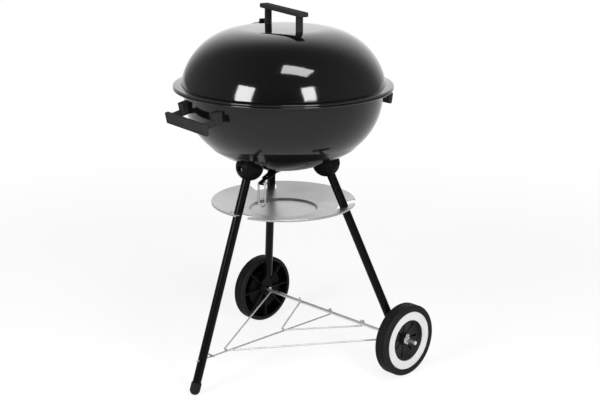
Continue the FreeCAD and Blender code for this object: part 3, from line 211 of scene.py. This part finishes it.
# %% Enamel for the bowl and the lid
def enamel(name, gloss, polish):
    finish = Finish(name, {"IOR": 1.52, "Specular IOR Level": gloss})
    clouds = finish.noise(scale=9.0, detail=3.0)
    pinholes = finish.specks(scale=900.0, rarity=0.72)
    rubbed = finish.edges(0.8 * MM)
    glass = finish.mixed(clouds, black(0.0026), black(0.0042))
    worn_glass = grey(0.045)
    finish.surface("Base Color", finish.mixed(pinholes * 0.5 + rubbed * 0.35, glass, worn_glass))
    handled = finish.between(finish.noise(scale=26.0, detail=4.0), 0.55, 0.75)
    finish.surface("Roughness", polish + handled * 0.02 + rubbed * 0.12)
    ripple = finish.noise(scale=900.0, detail=1.0)
    peel = finish.noise(scale=160.0, detail=1.0) + ripple * 0.12
    finish.surface("Normal", finish.bumped(peel, 0.02 * MM))
    return finish.material


finishes = {
    "bowl_enamel": enamel("bowl_enamel_finish", gloss=0.30, polish=0.10),
    "lid_enamel": enamel("lid_enamel_finish", gloss=0.42, polish=0.08),
}
print("enamels:", sorted(finishes))

# %% [markdown]
# ## Moulded plastic
# Handles and leg sockets are glass-filled nylon, a matt black with a grain like fine leather
# from the mould. The foot cap is a softer rubbery plastic, the wheels are blown from a waxy
# polythene, and their side rings are white. The grain could be cut into the meshes, but at a
# few hundredths of a millimetre it only scatters light, so it is a bump. One function makes them
# all: what differs is the colour, the polish and the size of the grain. Painted shade and light
# that a mesh may carry on its faces darkens deep hollows as painted shade, where light can't
# reach, and lightens the panels in a wheel's recess as painted light.

# %% Plastics
def moulded(name, colour, sheen, polish, grain, grain_depth):
    finish = Finish(name, {"IOR": 1.5, "Specular IOR Level": sheen})
    flow = finish.noise(scale=35.0, detail=4.0)
    dust = finish.specks(scale=1400.0, rarity=0.70)
    rubbed = finish.edges(1.0 * MM)
    shaded = finish.mixed(flow * 0.6 + dust * 0.4, colour, lightened(colour, 1.5, 0.004))
    worn = finish.mixed(rubbed * 0.5, shaded, lightened(colour, 2.2, 0.012))
    # Painted shade and light from the mesh's faces scales the colour: darker hollows, lighter recess
    # panels.
    tone = finish.add("ShaderNodeAttribute", {"attribute_name": "tone"}, output="Fac")
    sockets = {0: worn, "Scale": 1.0 + tone}
    finish.surface("Base Color", finish.add("ShaderNodeVectorMath", {"operation": "SCALE"}, sockets))
    finish.surface("Roughness", polish + flow * 0.10 - rubbed * 0.12)
    finish.surface("Normal", finish.bumped(finish.noise(grain), grain_depth))
    return finish.material


ring_white = (0.5800, 0.5780, 0.5700, 1.0)
plastics = {
    "handle_plastic": moulded("handle_nylon", black(0.0220), sheen=0.01, polish=0.58,
                              grain=1900.0, grain_depth=0.04 * MM),
    "socket_plastic": moulded("socket_nylon", black(0.0012), sheen=0.07, polish=0.46,
                              grain=1500.0, grain_depth=0.06 * MM),
    "foot_plastic": moulded("foot_cap_plastic", black(0.0055), sheen=0.12, polish=0.58,
                            grain=1300.0, grain_depth=0.05 * MM),
    "wheel_plastic": moulded("wheel_polythene", black(0.0068), sheen=0.12, polish=0.56,
                             grain=1100.0, grain_depth=0.04 * MM),
    "ring_plastic": moulded("ring_polystyrene", ring_white, sheen=0.35, polish=0.36,
                            grain=700.0, grain_depth=0.02 * MM),
}
finishes.update(plastics)
print("plastics:", sorted(plastics))

# %% [markdown]
# ## Painted steel
# The legs and the damper's lever are stoved black paint on tube and strip. The paint is thinner
# than enamel, so the drawing marks of the tube show through along its length, and it is rubbed
# to bare steel on the sharpest edges. Paint and bare steel could be two materials on chosen
# faces. One material that turns to metal where an edge is sharp needs no choosing, and its wear
# has a soft, ragged outline as on real paint.

# %% Paint for the legs and the lever
def stoved_paint(name, sheen, polish):
    finish = Finish(name, {"IOR": 1.5, "Specular IOR Level": sheen})
    drawn = finish.noise(scale=600.0, stretch=(1.0, 1.0, 0.04))
    dust = finish.specks(scale=1200.0, rarity=0.70)
    ragged = finish.between(finish.noise(scale=300.0, detail=3.0), 0.40, 0.60)
    rubbed = finish.edges(0.7 * MM) * ragged
    paint = finish.mixed(drawn, black(0.0014), black(0.0028))
    bare_steel = grey(0.16)
    finish.surface("Base Color", finish.mixed(rubbed * 0.8 + dust * 0.15, paint, bare_steel))
    finish.surface("Metallic", rubbed * 0.8)
    finish.surface("Roughness", polish + drawn * 0.06 + rubbed * 0.15)
    peel = finish.noise(scale=420.0) + drawn * 0.4
    finish.surface("Normal", finish.bumped(peel, 0.03 * MM))
    return finish.material


paints = {
    "leg_paint": stoved_paint("leg_stoved_paint", sheen=0.08, polish=0.24),
    "lever_enamel": stoved_paint("lever_stoved_paint", sheen=0.12, polish=0.28),
}
finishes.update(paints)
print("paints:", sorted(paints))

# %% [markdown]
# ## Bare and plated metal
# Four bright metals remain. The ash catcher is rolled aluminium sheet, whose rolling lines run
# one way and blur reflections along them. The rack and grates are wire with a zinc plate, and
# the screws, washers, pins and axle a finer plate of the same. The brackets inside the bowl
# and the damper plate are plain steel, dulled by heat. An anisotropic shader could blur the
# sheet's reflections, but real rolling lines can be seen, so they are drawn by a noise that is
# stretched along the sheet.

# %% Rolled aluminium for the ash catcher
def rolled_aluminium(name):
    finish = Finish(name, {"Metallic": 1.0})
    lines = finish.noise(scale=420.0, detail=3.0, stretch=(0.03, 1.0, 1.0))
    bands = finish.noise(scale=60.0, stretch=(0.05, 1.0, 1.0))
    smudges = finish.between(finish.noise(scale=14.0, detail=4.0), 0.45, 0.75)
    rubbed = finish.edges(0.6 * MM)
    dull, bright = (0.355, 0.358, 0.360, 1.0), (0.43, 0.433, 0.436, 1.0)
    sheet = finish.mixed(lines * 0.6 + bands * 0.4, dull, bright)
    finish.surface("Base Color", finish.mixed(rubbed * 0.6, sheet, grey(0.86)))
    finish.surface("Roughness", 0.30 + lines * 0.10 + smudges * 0.06)
    finish.surface("Normal", finish.bumped(lines, 0.02 * MM))
    return finish.material


finishes["ash_aluminium"] = rolled_aluminium("ash_catcher_aluminium")
print("ash catcher:", finishes["ash_aluminium"].name)


# %% Zinc plate, and steel dulled by heat
def plated(name, dull, bright, polish):
    finish = Finish(name, {"Metallic": 1.0})
    patches = finish.noise(scale=90.0, detail=4.0)
    drawn = finish.noise(scale=1300.0)
    rubbed = finish.edges(0.4 * MM)
    metal = finish.mixed(patches, dull, bright)
    finish.surface("Base Color", finish.mixed(rubbed * 0.5, metal, grey(0.9)))
    finish.surface("Roughness", polish + patches * 0.12 + drawn * 0.05)
    finish.surface("Normal", finish.bumped(drawn, 0.01 * MM))
    return finish.material


metals = {
    "plated_wire": plated("zinc_plated_wire", polish=0.42,
                          dull=(0.44, 0.445, 0.45, 1.0), bright=(0.60, 0.605, 0.61, 1.0)),
    "plated_fasteners": plated("bright_zinc_plate", polish=0.30,
                               dull=(0.60, 0.61, 0.62, 1.0), bright=(0.80, 0.80, 0.80, 1.0)),
    "inner_steel": plated("heat_dulled_steel", polish=0.38,
                          dull=(0.20, 0.195, 0.19, 1.0), bright=(0.34, 0.335, 0.33, 1.0)),
}
finishes.update(metals)
print("metals:", sorted(metals))

# %% Put the finishes on the frame's pieces
slots = {}
for node_name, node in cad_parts.items():
    slot = node.data.materials[0].name
    slots.setdefault(slot, []).append(node_name)
    node.material_slots[0].material = finishes[slot]
for slot, members in sorted(slots.items()):
    print(slot, "on", len(members), "pieces")

# %% [markdown]
# ## Wheels with a moulded tread
# Each wheel is one hollow moulding: a tyre with two rows of fine lateral slits, a deep recess
# with radial grooves in front, and a ribbed cavity behind. The slits could be cut with
# booleans, but nearly two hundred cuts are slow and leave ragged faces. Instead an outline
# turned about the axle gives everything that is round, slits and grooves are sunk into single
# faces of the turned surface, which keeps them exact and light, and the ribs are bars grown
# inside the cavity. The right wheel is made once, and the left one is its mirror image.

# %% Where the wheel sits
axle_low, axle_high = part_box("axle")
AXLE_Y = (axle_low.y + axle_high.y) / 2
AXLE_Z = (axle_low.z + axle_high.z) / 2
wheel_low, wheel_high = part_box("wheel_right")
TYRE_RADIUS = (wheel_high.z - wheel_low.z) / 2
TYRE_WIDTH = 28 * MM
TYRE_START = wheel_high.x - TYRE_WIDTH
HUB_BACK = wheel_low.x - TYRE_START
print("tyre radius", round(TYRE_RADIUS, 4), "hub behind the tyre by", round(-HUB_BACK, 4))

# %% Sizes across the wheel's section
# Places along the axle are measured from the tyre's inner face.
WEB_BACK = 7.5 * MM
RECESS_FLOOR = 11 * MM
NOSE_END = 20 * MM
CAVITY_FLOOR = 21.5 * MM
RING_SEAT = 25 * MM
TREAD_ROWS = ((4.5 * MM, 13.0 * MM), (15.0 * MM, 23.5 * MM))

BORE = 4.08 * MM
NOSE_RADIUS = 11 * MM
HUB_RADIUS = 13 * MM
GROOVE_RADII = (15 * MM, 40.5 * MM)
RING_INSIDE = 43.7 * MM
WEB_RADIUS = 46 * MM
RING_OUTSIDE = 61.3 * MM
RIM_INSIDE = 66 * MM
print("wall of the rim", round(TYRE_RADIUS - RIM_INSIDE, 4), "web", round(RECESS_FLOOR - WEB_BACK, 4))

# %% An outline, turned about the axle
TREAD_PITCHES = 96
TURN_STEPS = 2 * TREAD_PITCHES
outline = [
    (HUB_BACK, BORE), (HUB_BACK, HUB_RADIUS), (WEB_BACK, HUB_RADIUS), (WEB_BACK, WEB_RADIUS),
    (CAVITY_FLOOR, WEB_RADIUS), (CAVITY_FLOOR, RIM_INSIDE), (0, RIM_INSIDE), (0, TYRE_RADIUS),
    *((along, TYRE_RADIUS) for row in TREAD_ROWS for along in row),
    (TYRE_WIDTH, TYRE_RADIUS), (TYRE_WIDTH, RING_OUTSIDE),
    (RING_SEAT, RING_OUTSIDE), (RING_SEAT, RING_INSIDE),
    (RECESS_FLOOR, RING_INSIDE), *((RECESS_FLOOR, radius) for radius in reversed(GROOVE_RADII)),
    (RECESS_FLOOR, NOSE_RADIUS), (NOSE_END, NOSE_RADIUS), (NOSE_END, BORE),
]
wheel_mesh = bmesh.new()
corners = [wheel_mesh.verts.new((along, 0, radius)) for along, radius in outline]
sides = [wheel_mesh.edges.new(pair) for pair in zip(corners, corners[1:] + corners[:1])]
bmesh.ops.spin(wheel_mesh, geom=corners + sides, cent=(0, 0, 0), axis=(1, 0, 0),
               angle=math.tau, steps=TURN_STEPS, use_merge=True)
bmesh.ops.recalc_face_normals(wheel_mesh, faces=wheel_mesh.faces)
print("an outline of", len(outline), "corners turned into", len(wheel_mesh.faces), "faces")

# %% Finding faces of the wheel
NEAR = 0.1 * MM


def radius_of(point):
    return math.hypot(point.y, point.z)


def faces_between(start, end, inner, outer):
    """The faces whose middles lie between two places along the axle and two radii."""
    middles = [(face, face.calc_center_median()) for face in wheel_mesh.faces]
    return [face for face, middle in middles
            if start - NEAR < middle.x < end + NEAR and inner < radius_of(middle) < outer]


def sector_of(face):
    """Which of the turned steps a face belongs to."""
    middle = face.calc_center_median()
    return int(math.atan2(middle.y, middle.z) % math.tau / math.tau * TURN_STEPS)


ring_seat = faces_between(RING_SEAT, RING_SEAT, RING_INSIDE, RING_OUTSIDE)
print("faces under the white ring:", len(ring_seat), "in", len({sector_of(face) for face in ring_seat}),
      "sectors")


# %% Painted shade in the cavity and painted light on the panels
# The cavity behind the web is darkened as painted shade.
CAVITY_PAINTED_SHADE = -0.95
# The panels in the recess are lightened as painted light.
PANEL_PAINTED_LIGHT = 2.1
wheel_mesh.faces.layers.float.new("tone")


def set_painted_shade_and_light(faces, level):
    """Paints shade or light on some faces: the plastic is darker or lighter, as a share of its own
    colour.
    """
    tone = wheel_mesh.faces.layers.float["tone"]
    for face in faces:
        face[tone] = level


hollows = faces_between(0, CAVITY_FLOOR, HUB_RADIUS, RIM_INSIDE)
panels = faces_between(RECESS_FLOOR, CAVITY_FLOOR, HUB_RADIUS, RING_INSIDE)
set_painted_shade_and_light(hollows, CAVITY_PAINTED_SHADE)
set_painted_shade_and_light(panels, PANEL_PAINTED_LIGHT)
print("faces behind the web:", len(hollows) - len(panels), "and in the recess:", len(panels))

# %% Slits in the tread
# Every second face of a row is sunk, and the two rows are half a pitch apart.
# The slits' and grooves' floors and walls are darkened as painted shade.
HOLLOW_PAINTED_SHADE = -0.90
SLIT_DRAFT, SLIT_DEPTH = 0.15 * MM, 2.2 * MM
slits = []
for row, (start, end) in enumerate(TREAD_ROWS):
    band = faces_between(start, end, TYRE_RADIUS - NEAR, TYRE_RADIUS)
    slits += [face for face in band if sector_of(face) % 2 == row]
walls = bmesh.ops.inset_individual(wheel_mesh, faces=slits, thickness=SLIT_DRAFT, depth=-SLIT_DEPTH)
set_painted_shade_and_light(slits + walls["faces"], HOLLOW_PAINTED_SHADE)
print("slits in the tread:", len(slits))

# %% Radial grooves in the recess
# A groove takes a few neighbouring faces as one region, so it grows wider outwards.
SPOKES = 8
GROOVE_STEPS = 4
GROOVE_DRAFT, GROOVE_DEPTH = 0.2 * MM, 2.8 * MM
grooves = [face for face in faces_between(RECESS_FLOOR, RECESS_FLOOR, *GROOVE_RADII)
           if sector_of(face) % (TURN_STEPS // SPOKES) < GROOVE_STEPS]
walls = bmesh.ops.inset_region(wheel_mesh, faces=grooves, thickness=GROOVE_DRAFT, depth=-GROOVE_DEPTH)
# The grooves' floors and walls are darkened as painted shade.
set_painted_shade_and_light(grooves + walls["faces"], HOLLOW_PAINTED_SHADE)
print("grooves in the recess:", len(grooves) // GROOVE_STEPS)


# %% Rounded corners
# Each circle has a place along the axle, a radius, the size of its rounding and its steps.
TOUCHING = 0.001 * MM
ROUNDED_CIRCLES = [
    (0, TYRE_RADIUS, 4 * MM, 5),
    (TYRE_WIDTH, TYRE_RADIUS, 4 * MM, 5),
    (TYRE_WIDTH, RING_OUTSIDE, 0.5 * MM, 2),
    (RING_SEAT, RING_INSIDE, 0.6 * MM, 2),
    (RECESS_FLOOR, RING_INSIDE, 2.0 * MM, 3),
    (NOSE_END, NOSE_RADIUS, 1.0 * MM, 3),
]


def edges_of_circle(along, radius):
    """The edges that form the circle at a place along the axle."""
    return [edge for edge in wheel_mesh.edges
            if all(abs(corner.co.x - along) < TOUCHING
                   and abs(radius_of(corner.co) - radius) < TOUCHING for corner in edge.verts)]


for along, radius, rounding, steps in ROUNDED_CIRCLES:
    bmesh.ops.bevel(wheel_mesh, geom=edges_of_circle(along, radius), offset=rounding,
                    segments=steps, profile=0.5, affect="EDGES", material=-1)
print("faces after rounding:", len(wheel_mesh.faces))

# %% Ribs behind the web
# Each spoke is a thin bar in two steps, and a bar's ends are let a little into the walls.
# The ribs, deep in the cavity, are darkened a little as painted shade.
RIB_PAINTED_SHADE = -0.40
RIB_START = 1.5 * MM
RIB_WIDTH = 2.6 * MM
LET_IN = 0.5 * MM
RIB_BARS = (
    (HUB_RADIUS - 2 * LET_IN, WEB_RADIUS + LET_IN, WEB_BACK + LET_IN),
    (WEB_RADIUS - LET_IN, RIM_INSIDE + LET_IN, CAVITY_FLOOR + LET_IN),
)
for spoke in range(SPOKES):
    turn = Matrix.Rotation(math.tau * spoke / SPOKES, 4, "X")
    for inner, outer, rib_end in RIB_BARS:
        size = Matrix.Diagonal((rib_end - RIB_START, RIB_WIDTH, outer - inner, 1))
        place = Matrix.Translation(((rib_end + RIB_START) / 2, 0, (outer + inner) / 2))
        bar = bmesh.ops.create_cube(wheel_mesh, size=1, matrix=turn @ place @ size)["verts"]
        set_painted_shade_and_light({face for corner in bar for face in corner.link_faces}, RIB_PAINTED_SHADE)
print("ribs:", SPOKES, "and faces of the whole wheel:", len(wheel_mesh.faces))


# %% Both wheels
def make_wheel(side, direction):
    """Puts a copy of the wheel on the axle; a direction of -1 mirrors it to the left."""
    mesh = wheel_mesh.copy()
    bmesh.ops.translate(mesh, verts=mesh.verts, vec=(TYRE_START, AXLE_Y, AXLE_Z))
    bmesh.ops.scale(mesh, verts=mesh.verts, vec=(direction, 1, 1))
    bmesh.ops.recalc_face_normals(mesh, faces=mesh.faces)
    data = bpy.data.meshes.new(f"moulded_wheel_{side}")
    mesh.to_mesh(data)
    mesh.free()
    data.shade_smooth()
    data.set_sharp_from_angle(angle=math.radians(32))
    data.materials.append(finishes["wheel_plastic"])
    wheel = bpy.data.objects.new(f"moulded_wheel_{side}", data)
    bpy.context.scene.collection.objects.link(wheel)
    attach(wheel, f"{side}_wheel")
    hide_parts(f"wheel_{side}")
    return wheel


wheels = [make_wheel("right", 1), make_wheel("left", -1)]
wheel_mesh.free()
print("wheels:", [(wheel.name, len(wheel.data.polygons)) for wheel in wheels])

# %% [markdown]
# ## The studio
# The grill stands on a pale floor that fades into white. Gloss shows its surroundings, so the
# studio is planned from what should be seen in the lid: two upright softboxes in front, one to
# each side, a long one overhead, and a bright wall behind that draws a pale cap along the far
# side of the lid and lights the tray. A wall could be a lit panel, but its edges would show as
# hard lines on the lid, so it is a smooth ramp of light in the world. The front of the room
# stays dark, which keeps the enamel black.

# %% The floor
FLOOR_RADIUS = 14
FLOOR_DROP = 0.3 * MM
floor_mesh = bmesh.new()
bmesh.ops.create_circle(floor_mesh, cap_ends=True, segments=96, radius=FLOOR_RADIUS)
floor_data = bpy.data.meshes.new("studio_floor")
floor_mesh.to_mesh(floor_data)
floor_mesh.free()
floor_data.transform(Matrix.Translation((0, 0, -FLOOR_DROP)))
floor = bpy.data.objects.new("studio_floor", floor_data)
bpy.context.scene.collection.objects.link(floor)
print("floor size", [round(side, 2) for side in floor.dimensions])

# %% The floor's finish
# The camera and reflections see the floor mostly as plain white, and the rest of what they see
# is its lit surface, which keeps the grill's shadow. Far from the grill it is all white.
NEAR_WHITENESS = 0.82
FADE_STARTS, FADE_ENDS = 0.5, 2.0
floor_finish = Finish("pale_floor", {"Roughness": 0.9, "Specular IOR Level": 0.0})
floor_tone = floor_finish.mixed(floor_finish.noise(scale=1.5), grey(0.90), grey(0.92))
floor_finish.surface("Base Color", floor_tone)
camera_ray, glossy_ray, clear_ray = [
    floor_finish.add("ShaderNodeLightPath", output=f"Is {kind} Ray")
    for kind in ("Camera", "Glossy", "Transmission")]
distance = floor_finish.add("ShaderNodeVectorMath", {"operation": "LENGTH"},
                            {0: floor_finish.place}, "Value")
far = floor_finish.between(distance, FADE_STARTS, FADE_ENDS)
whiteness = (camera_ray + glossy_ray + clear_ray) * (NEAR_WHITENESS + far * (1.0 - NEAR_WHITENESS))
glow = floor_finish.add("ShaderNodeEmission", None, {"Color": grey(1.0), "Strength": 1.0})
lit = Wire(floor_finish, floor_finish.shader.outputs[0])
blend = floor_finish.add("ShaderNodeMixShader", None, {0: whiteness, 1: lit, 2: glow})
floor_finish.feed(floor_finish.tree.nodes["Material Output"], "Surface", blend)
floor_data.materials.append(floor_finish.material)
print("floor nodes:", len(floor_finish.tree.nodes))

# %% The room around it
WALL_TURN = 129
WALL_TILT = 20
SIDE_GLOW = 0.22
# How bright the room is, from the side opposite the wall, at 0, to the wall's middle, at 1.
ROOM_STOPS = [
    (0.0, 0.02), (0.30, 0.07), (0.48, 0.08), (0.68, 0.10), (0.78, 0.15), (0.84, 0.27),
    (0.88, 0.48), (0.92, 0.80), (0.955, 1.16), (0.985, 1.38)]


def direction(turn, rise):
    """The direction at a turn from the X axis and a rise above level, both in degrees."""
    turn, rise = math.radians(turn), math.radians(rise)
    return Vector((math.cos(turn) * math.cos(rise), math.sin(turn) * math.cos(rise), math.sin(rise)))


world = bpy.data.worlds.new("studio_room")
bpy.context.scene.world = world
world.use_nodes = True
room = Network(world.node_tree)
looking = room.add("ShaderNodeTexCoord", output="Generated")
towards_wall, sideways = [
    room.add("ShaderNodeVectorMath", {"operation": "DOT_PRODUCT"}, {0: looking, 1: way}, "Value")
    for way in (direction(WALL_TURN, WALL_TILT), direction(WALL_TURN - 90, 0))]
wall_light = room.add("ShaderNodeValToRGB", {"stops": ROOM_STOPS}, {0: towards_wall * 0.5 + 0.5})
side_level = sideways * sideways * SIDE_GLOW
side_light = room.add("ShaderNodeCombineColor", None,
                      {channel: side_level for channel in ("Red", "Green", "Blue")}, "Color")
room_light = room.add("ShaderNodeVectorMath", {"operation": "ADD"}, {0: wall_light, 1: side_light})
camera_sees = room.add("ShaderNodeLightPath", output="Is Camera Ray")
room_sockets = {"Factor_Float": camera_sees, "A_Color": room_light, "B_Color": grey(1.0)}
room_colour = room.add("ShaderNodeMix", {"data_type": "RGBA"}, room_sockets, "Result_Color")
room.feed(world.node_tree.nodes["Background"], "Color", room_colour)
print("room lit from behind, turned", WALL_TURN, "degrees")


# %% Softboxes
SOFTBOX_DISTANCE = 2.2
FRONT_RADIANCE = 22
OVERHEAD_RADIANCE = 14
OVERHEAD_TURN = math.radians(35)


def softbox(name, place, facing, width, height, radiance):
    """A rectangular lamp as bright as its radiance, which the camera doesn't see itself."""
    lamp = bpy.data.lights.new(name, "AREA")
    lamp.shape = "RECTANGLE"
    lamp.size = width
    lamp.size_y = height
    lamp.energy = radiance * math.pi * width * height
    holder = bpy.data.objects.new(name, lamp)
    bpy.context.scene.collection.objects.link(holder)
    holder.location = place
    holder.rotation_mode = "QUATERNION"
    holder.rotation_quaternion = facing
    holder.visible_camera = False
    return holder


def upright_softbox(name, aim, turn, rise, width, height):
    """A softbox that a point of the lid sees at a turn and a rise, in degrees, and that faces it."""
    away = direction(turn, rise)
    place = Vector(aim) + away * SOFTBOX_DISTANCE
    return softbox(name, place, away.to_track_quat("Z", "Y"), width, height, FRONT_RADIANCE)


facing_down = Matrix.Rotation(OVERHEAD_TURN, 4, "Z").to_quaternion()
lamps = [
    upright_softbox("left_softbox", (0.087, -0.173, 0.614), turn=-88.5, rise=18.6,
                    width=0.74, height=0.93),
    upright_softbox("right_softbox", (0.173, -0.092, 0.616), turn=-14, rise=21,
                    width=0.56, height=0.86),
    softbox("overhead_softbox", (1.02, -0.37, 2.26), facing_down,
            width=0.96, height=0.53, radiance=OVERHEAD_RADIANCE),
]
print("lamps:", [lamp.name for lamp in lamps])

# %% [markdown]
# ## The camera
# The camera stands in front and to the right, a little above the lid, and looks down at about
# sixteen degrees. A short lens from nearby would splay the legs, so a long lens is used from
# further away.

# %% Camera and picture settings
CAMERA_PLACE = (1.8009, -1.7014, 1.0653)
CAMERA_LOOK = Vector((-0.6884, 0.6713, -0.2748))
CAMERA_ROLL = -0.0034
camera_data = bpy.data.cameras.new("camera")
camera_data.lens = 75.66
camera = bpy.data.objects.new("camera", camera_data)
bpy.context.scene.collection.objects.link(camera)
camera.location = CAMERA_PLACE
roll = Matrix.Rotation(CAMERA_ROLL, 4, CAMERA_LOOK)
camera.rotation_mode = "QUATERNION"
camera.rotation_quaternion = roll.to_quaternion() @ CAMERA_LOOK.to_track_quat("-Z", "Y")
bpy.context.scene.camera = camera
bpy.context.scene.view_settings.view_transform = "Standard"
print("camera at", [round(v, 3) for v in camera.location])
